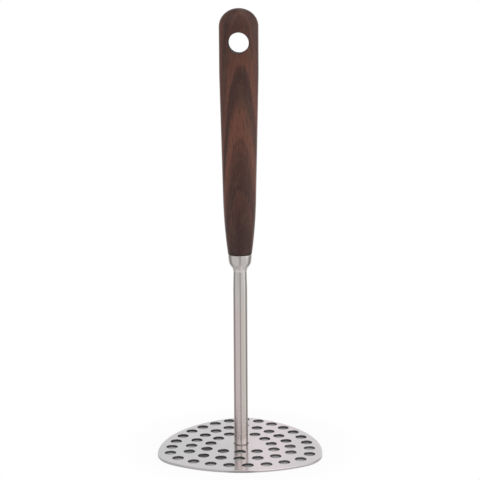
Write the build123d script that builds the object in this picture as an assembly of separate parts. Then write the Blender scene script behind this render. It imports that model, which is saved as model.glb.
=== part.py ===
from build123d import *
import math
import os

# Potato masher: a flat perforated steel plate, welded to the foot of a tubular stem,
# whose ferrule and tang carry a turned-down, flattened wooden handle with a hanging hole.
# Lengths are millimetres. The origin is on the plate's underside, on the stem's axis.
# +Z runs up the stem, -Y is the plate's flatter front edge and X runs across the plate.

# Overall heights
overall_height = 266.0
wood_base_height = 120.7

# Plate outline: a front arc and two side arcs, with rounded corners and a rounded back tip
plate_thickness = 1.5
plate_half_width = 49.8
plate_front_reach = 46.9
plate_front_radius = 74.6
plate_side_radius = 64.6
plate_widest_forward = 14.0
plate_corner_radius = 21.0
plate_tip_radius = 10.0
plate_edge_radius = 0.4

# Holes in the plate: three rings, each a front row and two side rows that meet behind the stem.
# The rings' side arcs are centred a little off the plate's own, so they near its edge at the back.
hole_diameter = 6.9
hole_edge_break = 0.2
hole_rim_margin = 0.95
hole_stem_margin = 1.0
front_row_inset = 8.8
front_row_spacing = 11.3
ring_centre_across = 4.0
ring_centre_back = 0.75
outer_ring_margin = 0.15
middle_ring_step = 11.4
inner_ring_step = 10.3
outer_front_pitch = 11.1
middle_front_pitch = 11.1
inner_front_pitch = 10.3
outer_corner_pitch = 11.24
middle_corner_pitch = 12.12
inner_corner_pitch = 10.54
front_corner_gap = 5.8
side_pitch = 10.1

# Stem tube, drawn down a little where it enters the ferrule
stem_diameter = 8.5
stem_wall = 1.0
neck_reduction = 0.55
neck_taper_length = 11.0

# Slugs welded inside the two ends of the tube. The top one is bored for the tang's spigot.
foot_plug_length = 12.0
top_plug_wall = 0.915
top_plug_floor = 3.0
plug_edge_break = 0.5

# Weld beads at the foot and at the neck
foot_weld_leg = 0.5
neck_weld_leg = 0.45
neck_weld_height = 1.8

# Ferrule: a thin cup whose rim meets the wood and whose shoulder closes on the stem
ferrule_rim_step = 0.1
ferrule_side_draw = 0.65
ferrule_height = 8.8
ferrule_land_height = 0.8
ferrule_shoulder_height = 2.8
ferrule_wall = 0.9
ferrule_floor_thickness = 1.3
ferrule_corner_radius = 1.2

# Tang: a ring-grooved rod that is glued into the wood and held by its spigot in the top slug
tang_length = 60.0
tang_spigot_length = 9.0
tang_seat = 0.5
tang_end_break = 0.6
groove_depth = 0.4
groove_width = 1.5
groove_pitch = 6.0
groove_margin = 8.0

# Wooden handle: an oval grip with a domed end, drawn in to a round collar at the ferrule
grip_width = 23.05
grip_thickness = 13.0
belly_width = 19.65
belly_thickness = 15.8
collar_diameter = 14.3
belly_rise = 33.6
level_length = 27.5
dome_height = 10.5
collar_edge_radius = 0.6
hanging_hole_diameter = 12.0
hanging_hole_drop = 19.8
hanging_hole_edge_radius = 0.5
collar_stations = 6
taper_stations = 4
level_stations = 3

# Clearances, and the overrun that cutting shapes have past the faces they cut
press_clearance = 0.03
weld_clearance = 0.02
tenon_clearance = 0.1
tenon_end_clearance = 0.6
glue_clearance = 0.3
tang_end_clearance = 2.0
cut_overrun = 2.0

# Radii that follow from the sizes above
stem_radius = stem_diameter / 2
stem_bore_radius = stem_radius - stem_wall
neck_radius = stem_radius - neck_reduction / 2
neck_bore_radius = neck_radius - stem_wall
top_plug_radius = neck_bore_radius - press_clearance
spigot_bore_radius = top_plug_radius - top_plug_wall
spigot_radius = spigot_bore_radius - press_clearance
tang_radius = spigot_radius + tang_seat
ferrule_rim_radius = collar_diameter / 2 - ferrule_rim_step
ferrule_shoulder_radius = ferrule_rim_radius - ferrule_side_draw

# Heights that follow from the sizes above
ferrule_base_height = wood_base_height - ferrule_height
tenon_length = ferrule_height - ferrule_shoulder_height - tenon_end_clearance
stem_top_height = wood_base_height - tenon_length
tang_top_height = stem_top_height + tang_length
belly_height = wood_base_height + belly_rise
shoulder_height = overall_height - dome_height
level_height = shoulder_height - level_length
hanging_hole_height = overall_height - hanging_hole_drop

# Centres of the plate's arcs and of the rings' arcs, as distances from the stem's axis
front_centre_back = plate_front_radius - plate_front_reach
side_centre_across = plate_side_radius - plate_half_width
ring_side_across = side_centre_across + ring_centre_across
ring_side_forward = plate_widest_forward - ring_centre_back


def turned(profile):
    """A solid of revolution about the stem's axis, from a closed outline in the XZ plane."""
    return revolve(make_face(profile), Axis.Z)


def rod(radius, low, high):
    """A round bar about the stem's axis between two heights."""
    return Pos(0, 0, low) * Cylinder(radius, high - low, align=(Align.CENTER, Align.CENTER, Align.MIN))


def plate_outline():
    """The plate seen from above: three large discs overlap, and the corners between them are rounded."""
    outline = Pos(0, front_centre_back) * Circle(plate_front_radius)
    for side in (-1, 1):
        outline &= Pos(side * side_centre_across, -plate_widest_forward) * Circle(plate_side_radius)
    corners = outline.vertices().sort_by(Axis.Y)
    outline = fillet(corners[-1], plate_tip_radius)
    corners = outline.vertices().sort_by(Axis.Y)
    return fillet(corners[:2], plate_corner_radius)


def ring_corner(front_radius, side_radius):
    """Angles at which a ring's front arc and its side arc meet, at the front and at the side centre."""
    rise = front_centre_back + ring_side_forward
    span = math.hypot(ring_side_across, rise)
    lean = math.atan2(ring_side_across, rise)
    at_front = (front_radius ** 2 + span ** 2 - side_radius ** 2) / (2 * front_radius * span)
    at_side = (side_radius ** 2 + span ** 2 - front_radius ** 2) / (2 * side_radius * span)
    return math.acos(at_front) - lean, math.pi / 2 - lean - math.acos(at_side)


def ring_places(front_radius, side_radius, front_pitch, corner_pitch, tip_limit):
    """Hole centres of one ring. The front row holds as many as fit at their pitch, and the side rows
    fill the way from the corner to the tip hole behind the stem."""
    front_corner, side_corner = ring_corner(front_radius, side_radius)
    corner_reach = front_corner * front_radius
    front_steps = int(2 * (corner_reach - front_corner_gap) / front_pitch)
    places = []
    for index in range(front_steps + 1):
        angle = (index - front_steps / 2) * front_pitch / front_radius
        places.append((front_radius * math.sin(angle), front_centre_back - front_radius * math.cos(angle)))
    past_corner = corner_pitch - (corner_reach - front_steps / 2 * front_pitch)
    start = side_corner + past_corner / side_radius
    end = math.acos(ring_side_across / side_radius)
    side_steps = round((end - start) * side_radius / side_pitch)
    for index in range(side_steps):
        angle = start + (end - start) * index / side_steps
        across = side_radius * math.cos(angle) - ring_side_across
        along = side_radius * math.sin(angle) - ring_side_forward
        places.append((across, along))
        places.append((-across, along))
    tip = side_radius * math.sin(end) - ring_side_forward
    places.append((0, min(tip, tip_limit)))
    return places


def hole_places(tip_limit):
    """Hole centres of the three rings, without any that would lie under the stem's foot."""
    hole_radius = hole_diameter / 2
    front_radius = plate_front_radius - front_row_inset
    side_radius = plate_side_radius - hole_radius - outer_ring_margin
    rings = (
        (0, outer_front_pitch, outer_corner_pitch),
        (middle_ring_step, middle_front_pitch, middle_corner_pitch),
        (inner_ring_step, inner_front_pitch, inner_corner_pitch),
    )
    places = []
    for ring, (side_step, front_pitch, corner_pitch) in enumerate(rings):
        side_radius -= side_step
        ring_front_radius = front_radius - ring * front_row_spacing
        places += ring_places(ring_front_radius, side_radius, front_pitch, corner_pitch, tip_limit)
    clear_radius = stem_radius + foot_weld_leg + hole_stem_margin + hole_radius
    return [place for place in places if math.hypot(*place) > clear_radius]


def make_masher_plate():
    """The perforated plate, with its outer edges rounded and its holes broken at both faces."""
    outline = plate_outline()
    tip_limit = outline.bounding_box().max.Y - hole_rim_margin - hole_diameter / 2
    places = hole_places(tip_limit)
    plate = extrude(outline, plate_thickness)
    rim = plate.edges().group_by(Axis.Z)[0] + plate.edges().group_by(Axis.Z)[-1]
    plate = fillet(rim, plate_edge_radius)
    holes = Sketch() + [Pos(across, along) * Circle(hole_diameter / 2) for across, along in places]
    plate -= extrude(holes, plate_thickness)
    hole_edges = plate.edges().filter_by(GeomType.CIRCLE).filter_by(
        lambda edge: math.isclose(edge.radius, hole_diameter / 2))
    print("holes in the plate:", len(places))
    return chamfer(hole_edges, hole_edge_break)


def make_foot_plug():
    """The slug inside the tube's foot, standing on the plate and welded to it."""
    plug = rod(stem_bore_radius - press_clearance, plate_thickness, plate_thickness + foot_plug_length)
    return chamfer(plug.edges().group_by(Axis.Z)[-1], plug_edge_break)


def bead(inner_radius, face_height, leg, height):
    """A dressed weld bead with a straight face, round the tube and against a flat face at one height."""
    foot = (inner_radius + leg, 0, face_height)
    corner = (inner_radius, 0, face_height)
    toe = (inner_radius, 0, face_height + height)
    return turned(Polyline(foot, corner, toe, close=True))


def make_foot_weld():
    """The fine bead between the tube's foot and the plate."""
    return bead(stem_radius + weld_clearance, plate_thickness, foot_weld_leg, foot_weld_leg)


def make_neck_weld():
    """The polished bead that runs the ferrule's shoulder into the tube."""
    return bead(neck_radius + weld_clearance, ferrule_base_height, neck_weld_leg, -neck_weld_height)


def tube_shell(foot_radius, top_radius):
    """The solid that the tube's outer or inner wall bounds, drawn down to the neck near its top."""
    taper_top = ferrule_base_height - neck_weld_height
    taper_foot = taper_top - neck_taper_length
    return turned(Polyline(
        (0, 0, plate_thickness),
        (foot_radius, 0, plate_thickness),
        (foot_radius, 0, taper_foot),
        (top_radius, 0, taper_top),
        (top_radius, 0, stem_top_height),
        (0, 0, stem_top_height),
        close=True,
    ))


def make_stem_tube():
    """The stem: a tube from the plate up into the ferrule."""
    return tube_shell(stem_radius, neck_radius) - tube_shell(stem_bore_radius, neck_bore_radius)


def make_stem_top_plug():
    """The slug inside the tube's top, bored for the tang's spigot."""
    bore_floor = stem_top_height - tang_spigot_length
    plug = rod(top_plug_radius, bore_floor - top_plug_floor, stem_top_height)
    plug = chamfer(plug.edges().group_by(Axis.Z)[0], plug_edge_break)
    return plug - rod(spigot_bore_radius, bore_floor, stem_top_height + cut_overrun)


def make_ferrule():
    """The cup: an upright land at the rim, a drawn-in side, a rounded corner and a cone to the neck."""
    rim = ferrule_rim_radius
    shoulder = ferrule_shoulder_radius
    lip = neck_radius + weld_clearance + neck_weld_leg
    shoulder_top = ferrule_base_height + ferrule_shoulder_height
    bore = neck_radius + press_clearance
    floor = ferrule_base_height + ferrule_floor_thickness
    land_foot = wood_base_height - ferrule_land_height
    land = Line((rim, 0, wood_base_height), (rim, 0, land_foot))
    side = TangentArc((rim, 0, land_foot), (shoulder, 0, shoulder_top), tangent=(0, 0, -1))
    rest = Polyline(
        (shoulder, 0, shoulder_top),
        (lip, 0, ferrule_base_height),
        (bore, 0, ferrule_base_height),
        (bore, 0, floor),
        (shoulder - ferrule_wall, 0, shoulder_top),
        (rim - ferrule_wall, 0, land_foot),
        (rim - ferrule_wall, 0, wood_base_height),
        (rim, 0, wood_base_height),
    )
    cup = turned(land + side + rest)
    corner = cup.edges().filter_by(GeomType.CIRCLE).sort_by(
        lambda edge: abs(edge.radius - shoulder) + abs(edge.center().Z - shoulder_top))[0]
    return fillet(corner, ferrule_corner_radius)


def make_tang():
    """The rod that holds the wood: a spigot, a seat on the top slug and a row of glue grooves."""
    tang = rod(tang_radius, stem_top_height, tang_top_height)
    tang = chamfer(tang.edges().group_by(Axis.Z)[-1], tang_end_break)
    tang += rod(spigot_radius, stem_top_height - tang_spigot_length, stem_top_height)
    groove_count = int((tang_length - 2 * groove_margin) / groove_pitch) + 1
    for index in range(groove_count):
        low = stem_top_height + groove_margin + index * groove_pitch
        high = low + groove_width
        tang -= rod(tang_radius + cut_overrun, low, high) - rod(tang_radius - groove_depth, low, high)
    return tang


def grip_size(height, end_size, belly_size):
    """The grip's width or thickness at a height: level at the end, straight to the belly, then curved in."""
    if height >= level_height:
        return end_size
    slope = (end_size - belly_size) / (level_height - belly_height)
    size = belly_size + slope * (height - belly_height)
    if height < belly_height:
        depth = (belly_height - height) / (belly_height - wood_base_height)
        straight_base_size = belly_size - slope * (belly_height - wood_base_height)
        size -= (straight_base_size - collar_diameter) * depth ** 2
    return size


def grip_section(height):
    """The oval of the grip at one height."""
    width = grip_size(height, grip_width, belly_width)
    thickness = grip_size(height, grip_thickness, belly_thickness)
    return Pos(0, 0, height) * scale(Circle(1), by=(width / 2, thickness / 2, 1))


def station_heights():
    """Heights of the ovals that the grip is lofted through, from the collar to the shoulder."""
    spans = (
        (wood_base_height, belly_height, collar_stations),
        (belly_height, level_height, taper_stations),
        (level_height, shoulder_height, level_stations),
    )
    heights = [wood_base_height]
    for low, high, count in spans:
        for index in range(1, count + 1):
            heights.append(low + (high - low) * index / count)
    return heights


def on_hanging_hole_rim(edge):
    """Whether an edge is part of a curved rim of the hanging hole."""
    point = edge.position_at(0.5)
    off_axis = math.hypot(point.X, point.Z - hanging_hole_height)
    on_wall = abs(off_axis - hanging_hole_diameter / 2) < hanging_hole_edge_radius
    return on_wall and edge.geom_type != GeomType.LINE


def make_wood_handle():
    """The handle: grip, domed end, tenon in the ferrule, bore for the tang and hanging hole."""
    grip = loft([grip_section(height) for height in station_heights()])
    grip = fillet(grip.edges().group_by(Axis.Z)[0], collar_edge_radius)
    dome = Sphere(1, arc_size1=0, align=(Align.CENTER, Align.CENTER, Align.MIN))
    dome = scale(dome, by=(grip_width / 2, grip_thickness / 2, dome_height))
    handle = grip + Pos(0, 0, shoulder_height) * dome
    hanging_hole = Pos(0, 0, hanging_hole_height) * Rot(90, 0, 0) * Cylinder(
        hanging_hole_diameter / 2, grip_thickness + cut_overrun)
    handle -= hanging_hole
    handle = fillet(handle.edges().filter_by(on_hanging_hole_rim), hanging_hole_edge_radius)
    base_radius = ferrule_rim_radius - ferrule_wall - tenon_clearance
    draw = ferrule_side_draw * tenon_length / (ferrule_height - ferrule_shoulder_height)
    handle += Pos(0, 0, stem_top_height) * Cone(
        base_radius - draw, base_radius, tenon_length, align=(Align.CENTER, Align.CENTER, Align.MIN))
    bore_top = tang_top_height + tang_end_clearance
    return handle - rod(tang_radius + glue_clearance, stem_top_height - cut_overrun, bore_top)


pieces = {
    "masher_plate": make_masher_plate,
    "foot_plug": make_foot_plug,
    "foot_weld": make_foot_weld,
    "stem_tube": make_stem_tube,
    "stem_top_plug": make_stem_top_plug,
    "neck_weld": make_neck_weld,
    "ferrule": make_ferrule,
    "tang": make_tang,
    "wood_handle": make_wood_handle,
}

os.makedirs("parts", exist_ok=True)
for node, make in pieces.items():
    shape = make()
    export_step(shape, f"parts/{node}.step")
    print(f"{node}: {shape.volume:.1f} mm3")
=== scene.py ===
"""The looks of a potato masher: perforated plate, tubular stem, ferrule and dark wooden handle.

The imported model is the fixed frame. Each steel or wooden piece that shows gets a fine surface here,
worked out from the same sizes, and stands for its own node. Lengths are metres, written as
millimetres times MM, but the finishes read places in millimetres. +Z runs up the stem, -Y is the
plate's front edge and X runs across the plate.
"""

import logging
import math
from dataclasses import dataclass
from enum import Enum
from typing import Sequence

import bmesh
import bpy
import numpy as np
from mathutils import Matrix, Vector
from mathutils.geometry import delaunay_2d_cdt


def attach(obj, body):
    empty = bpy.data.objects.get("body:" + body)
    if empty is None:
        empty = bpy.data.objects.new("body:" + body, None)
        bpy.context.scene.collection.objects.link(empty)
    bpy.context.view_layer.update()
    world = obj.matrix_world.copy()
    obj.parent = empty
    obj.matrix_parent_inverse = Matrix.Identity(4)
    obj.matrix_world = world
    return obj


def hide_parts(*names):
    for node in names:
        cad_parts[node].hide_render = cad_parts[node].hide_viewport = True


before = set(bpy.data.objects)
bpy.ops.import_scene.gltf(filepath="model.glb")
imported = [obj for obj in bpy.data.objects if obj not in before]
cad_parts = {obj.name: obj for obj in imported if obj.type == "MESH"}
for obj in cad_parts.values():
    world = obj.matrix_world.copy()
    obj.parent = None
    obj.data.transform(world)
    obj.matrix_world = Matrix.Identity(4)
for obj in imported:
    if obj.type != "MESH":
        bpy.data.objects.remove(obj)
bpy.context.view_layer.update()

MM = 0.001
IMAGE_SIDE = 480
BODY = "root"
# Points of cut edges, and of painted shade on the plate's rim and at the wood's foot.
CUT_AND_SHADE = "hole_wall"
MERGE_DISTANCE = 0.00005 * MM
log = logging.getLogger("masher")

Colour = tuple[float, float, float]
Place = tuple[float, float, float]
Edges = tuple[float, float]  # where a soft step starts and ends


class Lay(Enum):
    """The direction in which a steel surface's fine marks run."""

    TURNED = "around the stem"
    ROLLED = "across the plate"


def even_shares(count: int, power: float = 1.0) -> np.ndarray:
    """Shares from 0 to 1 in equal steps, raised to a power.

    Args:
        count: How many steps.
        power: Above 1 gathers the shares near 0, and below 1 near 1.

    Returns:
        An array of count + 1 shares.
    """
    return np.linspace(0.0, 1.0, count + 1) ** power


def rounded_profile(corners: Sequence[tuple[float, float, float]], steps: int = 6) -> np.ndarray:
    """A closed outline whose corners are rounded.

    Each corner is replaced by a quadratic curve that leaves one side and joins the next at the same
    distance from the corner: (1-t)^2 start + 2(1-t)t corner + t^2 end.

    Args:
        corners: Radius, height and rounding distance of each corner, in order.
        steps: Steps in each rounded corner.

    Returns:
        Radius and height of each point of the outline.
    """
    points = np.array([corner[:2] for corner in corners], float)
    cuts = np.array([corner[2] for corner in corners], float)[:, None]
    back = np.roll(points, 1, axis=0) - points
    ahead = np.roll(points, -1, axis=0) - points
    starts = points + cuts * back / np.linalg.norm(back, axis=1, keepdims=True)
    ends = points + cuts * ahead / np.linalg.norm(ahead, axis=1, keepdims=True)
    t = even_shares(steps)[None, :, None]
    start, corner, end = starts[:, None], points[:, None], ends[:, None]
    curve = (1 - t) ** 2 * start + 2 * (1 - t) * t * corner + t ** 2 * end
    kept = [curve[i] if cuts[i, 0] > 0 else curve[i, :1] for i in range(len(points))]
    return np.concatenate(kept)


class Skin:
    """The points and faces of one piece, gathered patch by patch and then closed into one mesh."""

    def __init__(self) -> None:
        """Starts with no points."""
        self.points: list[np.ndarray] = []
        self.faces: list[np.ndarray] = []
        self.count = 0

    def add(self, points: np.ndarray, faces: np.ndarray) -> None:
        """Adds loose points and the faces between them.

        Args:
            points: Places, one row each.
            faces: Point numbers of each face, counted within these points.
        """
        self.points.append(points.reshape(-1, 3))
        self.faces.append(faces + self.count)
        self.count += len(self.points[-1])

    def add_grid(self, grid: np.ndarray, keep: np.ndarray | None = None,
                 close_rows: bool = False) -> None:
        """Adds a grid of points, closed around its columns, as four-sided faces.

        Args:
            grid: Places by row and column.
            keep: Which faces stay, by row and column, or None for all.
            close_rows: Whether the last row joins the first one.
        """
        rows, columns = grid.shape[:2]
        number = np.arange(rows * columns).reshape(rows, columns)
        across = np.roll(number, -1, axis=1)
        up, up_across = np.roll(number, -1, axis=0), np.roll(across, -1, axis=0)
        faces = np.stack([number, across, up_across, up], axis=2)
        if not close_rows:
            faces = faces[:-1]
        chosen = faces.reshape(-1, 4) if keep is None else faces[keep]
        self.add(grid, chosen)

    def build(self, name: str, sharp_angle: float = 35.0) -> bpy.types.Object:
        """Merges the patches where they meet and makes the finished piece.

        Args:
            name: The piece's name.
            sharp_angle: Edges sharper than this many degrees stay crisp.

        Returns:
            The piece, at the origin, with its place in its mesh.
        """
        mesh = bpy.data.meshes.new(name)
        faces = [row for part in self.faces for row in part.tolist()]
        mesh.from_pydata(np.concatenate(self.points).tolist(), [], faces)
        form = bmesh.new()
        form.from_mesh(mesh)
        bmesh.ops.remove_doubles(form, verts=form.verts, dist=MERGE_DISTANCE)
        loose = [vertex for vertex in form.verts if not vertex.link_faces]
        bmesh.ops.delete(form, geom=loose, context="VERTS")
        bmesh.ops.recalc_face_normals(form, faces=form.faces)
        form.to_mesh(mesh)
        form.free()
        mesh.shade_smooth()
        mesh.set_sharp_from_angle(angle=math.radians(sharp_angle))
        piece = bpy.data.objects.new(name, mesh)
        bpy.context.scene.collection.objects.link(piece)
        even = piece.modifiers.new("even shading", "WEIGHTED_NORMAL")
        even.keep_sharp = True
        return piece


def turned_grid(profile: np.ndarray, columns: int) -> np.ndarray:
    """A profile turned about the stem's axis: x = r sin(a), y = -r cos(a), z = height.

    Args:
        profile: Radius and height of each point.
        columns: Steps around the axis.

    Returns:
        Places by profile point and step.
    """
    angle = np.linspace(0.0, math.tau, columns, endpoint=False)
    radius, height = profile[:, :1], profile[:, 1:]
    level = height * np.ones_like(angle)
    return np.stack([radius * np.sin(angle), -radius * np.cos(angle), level], axis=2)


def turned_piece(name: str, profile: np.ndarray, columns: int = 192) -> bpy.types.Object:
    """A ring-shaped piece: a closed profile turned about the stem's axis.

    Args:
        name: The piece's name.
        profile: Radius and height of each point of the closed outline.
        columns: Steps around the axis.

    Returns:
        The finished piece.
    """
    skin = Skin()
    skin.add_grid(turned_grid(profile, columns), close_rows=True)
    return skin.build(name)


class Signal:
    """A number that flows through a material. Sums written with it add their Math nodes."""

    def __init__(self, sheet: "NodeSheet", socket: bpy.types.NodeSocket) -> None:
        """Wraps one output socket of a sheet."""
        self.sheet = sheet
        self.socket = socket

    def _join(self, operation: str, *terms: "Signal | float") -> "Signal":
        """Adds one Math node on these terms."""
        settings = {"operation": operation}
        return self.sheet.signal("ShaderNodeMath", settings, dict(enumerate(terms)))

    def __add__(self, other: "Signal | float") -> "Signal":
        """This plus the other."""
        return self._join("ADD", self, other)

    def __radd__(self, other: float) -> "Signal":
        """The other plus this."""
        return self._join("ADD", other, self)

    def __sub__(self, other: "Signal | float") -> "Signal":
        """This less the other."""
        return self._join("SUBTRACT", self, other)

    def __rsub__(self, other: float) -> "Signal":
        """The other less this."""
        return self._join("SUBTRACT", other, self)

    def __mul__(self, other: "Signal | float") -> "Signal":
        """This times the other."""
        return self._join("MULTIPLY", self, other)

    def __rmul__(self, other: float) -> "Signal":
        """The other times this."""
        return self._join("MULTIPLY", other, self)

    def __truediv__(self, other: "Signal | float") -> "Signal":
        """This over the other."""
        return self._join("DIVIDE", self, other)

    def __rtruediv__(self, other: float) -> "Signal":
        """The other over this."""
        return self._join("DIVIDE", other, self)

    def __abs__(self) -> "Signal":
        """This without its sign."""
        return self._join("ABSOLUTE", self)

    def root(self) -> "Signal":
        """The square root."""
        return self._join("SQRT", self)

    def angle_from(self, other: "Signal") -> "Signal":
        """The angle whose sine follows this and whose cosine follows the other, in radians."""
        return self._join("ARCTAN2", self, other)

    def toward(self, other: "Signal | float", share: "Signal | float") -> "Signal":
        """This, moved a share of the way to the other."""
        return self + share * (other - self)

    def step(self, low: float, high: float, start: "Signal | float" = 0.0,
             end: "Signal | float" = 1.0) -> "Signal":
        """A soft step.

        Args:
            low: Where the step starts.
            high: Where it ends.
            start: Its value up to low.
            end: Its value from high on.

        Returns:
            The stepped number.
        """
        values = {0: self, 1: low, 2: high, 3: start, 4: end}
        return self.sheet.signal("ShaderNodeMapRange", {"interpolation_type": "SMOOTHSTEP"}, values)


def length(x: Signal, y: Signal) -> Signal:
    """How far a point lies from the centre: sqrt(x^2 + y^2)."""
    return (x * x + y * y).root()


@dataclass(frozen=True)
class Noise:
    """A soft noise pattern: its blobs per millimetre along X, Y and Z, and its finer layers.

    The shift moves the pattern, so that two noises differ.
    """

    stretch: tuple[float, float, float]
    layers: float
    rough: float = 0.5
    shift: float = 0.0


class NodeSheet:
    """The nodes of one material or of the world."""

    def __init__(self, tree: bpy.types.NodeTree) -> None:
        """Starts from an empty tree."""
        self.tree = tree
        tree.nodes.clear()

    def node(self, kind: str, settings: dict | None = None,
             inputs: dict | None = None) -> bpy.types.Node:
        """Adds any node.

        Args:
            kind: The node's type.
            settings: Its settings, set first. "stops" gives a ramp's places and colours.
            inputs: Values, sockets or signals for its sockets, by name or number.

        Returns:
            The new node.
        """
        made = self.tree.nodes.new(kind)
        for name, value in (settings or {}).items():
            if name == "stops":
                ramp = made.color_ramp
                for place, _ in value[len(ramp.elements):]:
                    ramp.elements.new(place)
                for element, (place, colour) in zip(ramp.elements, value):
                    element.position = place
                    element.color = (*colour, 1.0)
            else:
                setattr(made, name, value)
        for name, value in (inputs or {}).items():
            socket = made.inputs[name]
            if isinstance(value, Signal):
                self.tree.links.new(value.socket, socket)
            elif isinstance(value, bpy.types.NodeSocket):
                self.tree.links.new(value, socket)
            else:
                socket.default_value = value
        return made

    def signal(self, kind: str, settings: dict, inputs: dict, output: int | str = 0) -> Signal:
        """Adds a node and wraps one of its outputs as a number."""
        return Signal(self, self.node(kind, settings, inputs).outputs[output])

    def place(self) -> bpy.types.NodeSocket:
        """Reads where on the piece the material is.

        Returns:
            The place, in millimetres of the shared frame.
        """
        where = self.node("ShaderNodeTexCoord").outputs["Object"]
        scaled = {0: where, "Scale": 1.0 / MM}
        return self.node("ShaderNodeVectorMath", {"operation": "SCALE"}, scaled).outputs[0]

    def parts(self, vector: bpy.types.NodeSocket) -> tuple[Signal, Signal, Signal]:
        """The X, Y and Z of a vector, as three numbers."""
        split = self.node("ShaderNodeSeparateXYZ", None, {0: vector})
        return tuple(Signal(self, socket) for socket in split.outputs)

    def noise(self, where: bpy.types.NodeSocket, pattern: Noise) -> Signal:
        """Soft noise.

        Args:
            where: The place, in millimetres.
            pattern: The noise's pattern.

        Returns:
            The noise, from 0 to 1.
        """
        placing = {"Vector": where, "Scale": pattern.stretch, "Location": (pattern.shift,) * 3}
        mapped = self.node("ShaderNodeMapping", None, placing).outputs[0]
        inputs = {"Vector": mapped, "Scale": 1.0, "Detail": pattern.layers,
                  "Roughness": pattern.rough}
        return self.signal("ShaderNodeTexNoise", {}, inputs)

    def rays(self) -> tuple[Signal, Signal]:
        """1 where the camera itself looks, and 1 where a shiny surface looks."""
        path = self.node("ShaderNodeLightPath").outputs
        return Signal(self, path["Is Camera Ray"]), Signal(self, path["Is Glossy Ray"])

    def share(self, name: str) -> Signal:
        """A number that is written on the piece's points."""
        return self.signal("ShaderNodeAttribute", {"attribute_name": name}, {}, "Fac")

    def grey(self, level: Signal) -> bpy.types.NodeSocket:
        """A grey of this level, as a colour."""
        return self.blend(level, (0.0, 0.0, 0.0), (1.0, 1.0, 1.0))

    def blend(self, share: Signal, first: object, second: object) -> bpy.types.NodeSocket:
        """Mixes two colours.

        Args:
            share: How much of the second.
            first: The colour or colour socket at 0.
            second: The colour or colour socket at 1.

        Returns:
            The mixed colour's socket.
        """
        first, second = ((*c, 1.0) if isinstance(c, tuple) else c for c in (first, second))
        inputs = {0: share, 6: first, 7: second}
        return self.node("ShaderNodeMix", {"data_type": "RGBA"}, inputs).outputs[2]


def new_material(name: str) -> tuple[bpy.types.Material, NodeSheet]:
    """Starts a material.

    Args:
        name: The material's name.

    Returns:
        The empty material and its sheet of nodes.
    """
    material = bpy.data.materials.new(name)
    material.use_nodes = True
    return material, NodeSheet(material.node_tree)


@dataclass(frozen=True)
class SteelFinish:
    """A satin steel surface, with fine marks that run one way and faint clouds in its tone.

    A faint colour grows across it from the left to the right: a painted reflection of coloured
    surroundings. The shine of a piece that turns about the stem can be drawn out along the stem, as
    marks that run around it do, and is turned by a quarter for that. The marks' length and the
    painted reflection's edges are millimetres.
    """

    name: str
    colour: Colour
    cloud_colour: Colour
    roughness: float
    lay: Lay
    roughness_spread: float = 0.06
    mark_depth: float = 0.004 * MM
    marks_per_mm: float = 14.0
    mark_length: float = 9.0
    cloud_noise: Noise = Noise((0.035, 0.035, 0.035), 2.0, 0.5, 3.0)
    cloud_edges: Edges = (0.35, 0.65)
    painted_reflection_colour: Colour | None = None
    painted_reflection_edges: Edges = (-1.0, 1.0)
    drawn_shine: float = 0.0
    shine_turn: float = 0.25

    def mark_noise(self) -> Noise:
        """The fine marks along the lay.

        Returns:
            Their noise.
        """
        fine, long = self.marks_per_mm, 1.0 / self.mark_length
        stretch = {Lay.TURNED: (long, long, fine), Lay.ROLLED: (long, fine, fine)}[self.lay]
        return Noise(stretch, 2.0, 0.6)

    def surface(self, sheet: NodeSheet) -> tuple[object, Signal, Signal]:
        """The finish's changing parts.

        Args:
            sheet: The material's nodes.

        Returns:
            The colour, the roughness and the height of the marks.
        """
        where = sheet.place()
        marks = sheet.noise(where, self.mark_noise())
        clouds = sheet.noise(where, self.cloud_noise).step(*self.cloud_edges)
        colour = sheet.blend(clouds, self.colour, self.cloud_colour)
        # Painted reflection: a colour that grows across the piece from left to right, standing for
        # coloured surroundings that it mirrors.
        if self.painted_reflection_colour:
            colour = sheet.blend(self.painted_reflection_share(sheet, where), colour, self.painted_reflection_colour)
        roughness = self.roughness + (marks - 0.5) * self.roughness_spread
        return colour, roughness, marks

    def painted_reflection_share(self, sheet: NodeSheet, where: bpy.types.NodeSocket) -> Signal:
        """How much of the painted reflection lies at each point.

        Args:
            sheet: The material's nodes.
            where: The place, in millimetres.

        Returns:
            The share from 0 to 1.
        """
        across, _, _ = sheet.parts(where)
        return across.step(*self.painted_reflection_edges)

    def material(self) -> bpy.types.Material:
        """Makes the material.

        Returns:
            The finished material.
        """
        material, sheet = new_material(self.name)
        colour, roughness, marks = self.surface(sheet)
        fixed = {"Metallic": 1.0, "Anisotropic": self.drawn_shine,
                 "Anisotropic Rotation": self.shine_turn}
        finish_surface(sheet, colour, roughness, marks, self.mark_depth, fixed)
        return material


def finish_surface(sheet: NodeSheet, colour: object, roughness: Signal, height: Signal,
                   depth: float, fixed: dict) -> None:
    """Ends a material with one Principled surface and its bump.

    Args:
        sheet: The material's nodes.
        colour: The base colour.
        roughness: The roughness.
        height: The bump's height from 0 to 1.
        depth: The bump's full depth in metres.
        fixed: Sockets that are the same all over.
    """
    relief = {"Strength": 1.0, "Distance": depth, "Height": height}
    bump = sheet.node("ShaderNodeBump", None, relief)
    inputs = {"Base Color": colour, "Roughness": roughness, "Normal": bump.outputs[0], **fixed}
    shader = sheet.node("ShaderNodeBsdfPrincipled", None, inputs)
    sheet.node("ShaderNodeOutputMaterial", None, {"Surface": shader.outputs[0]})


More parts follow.
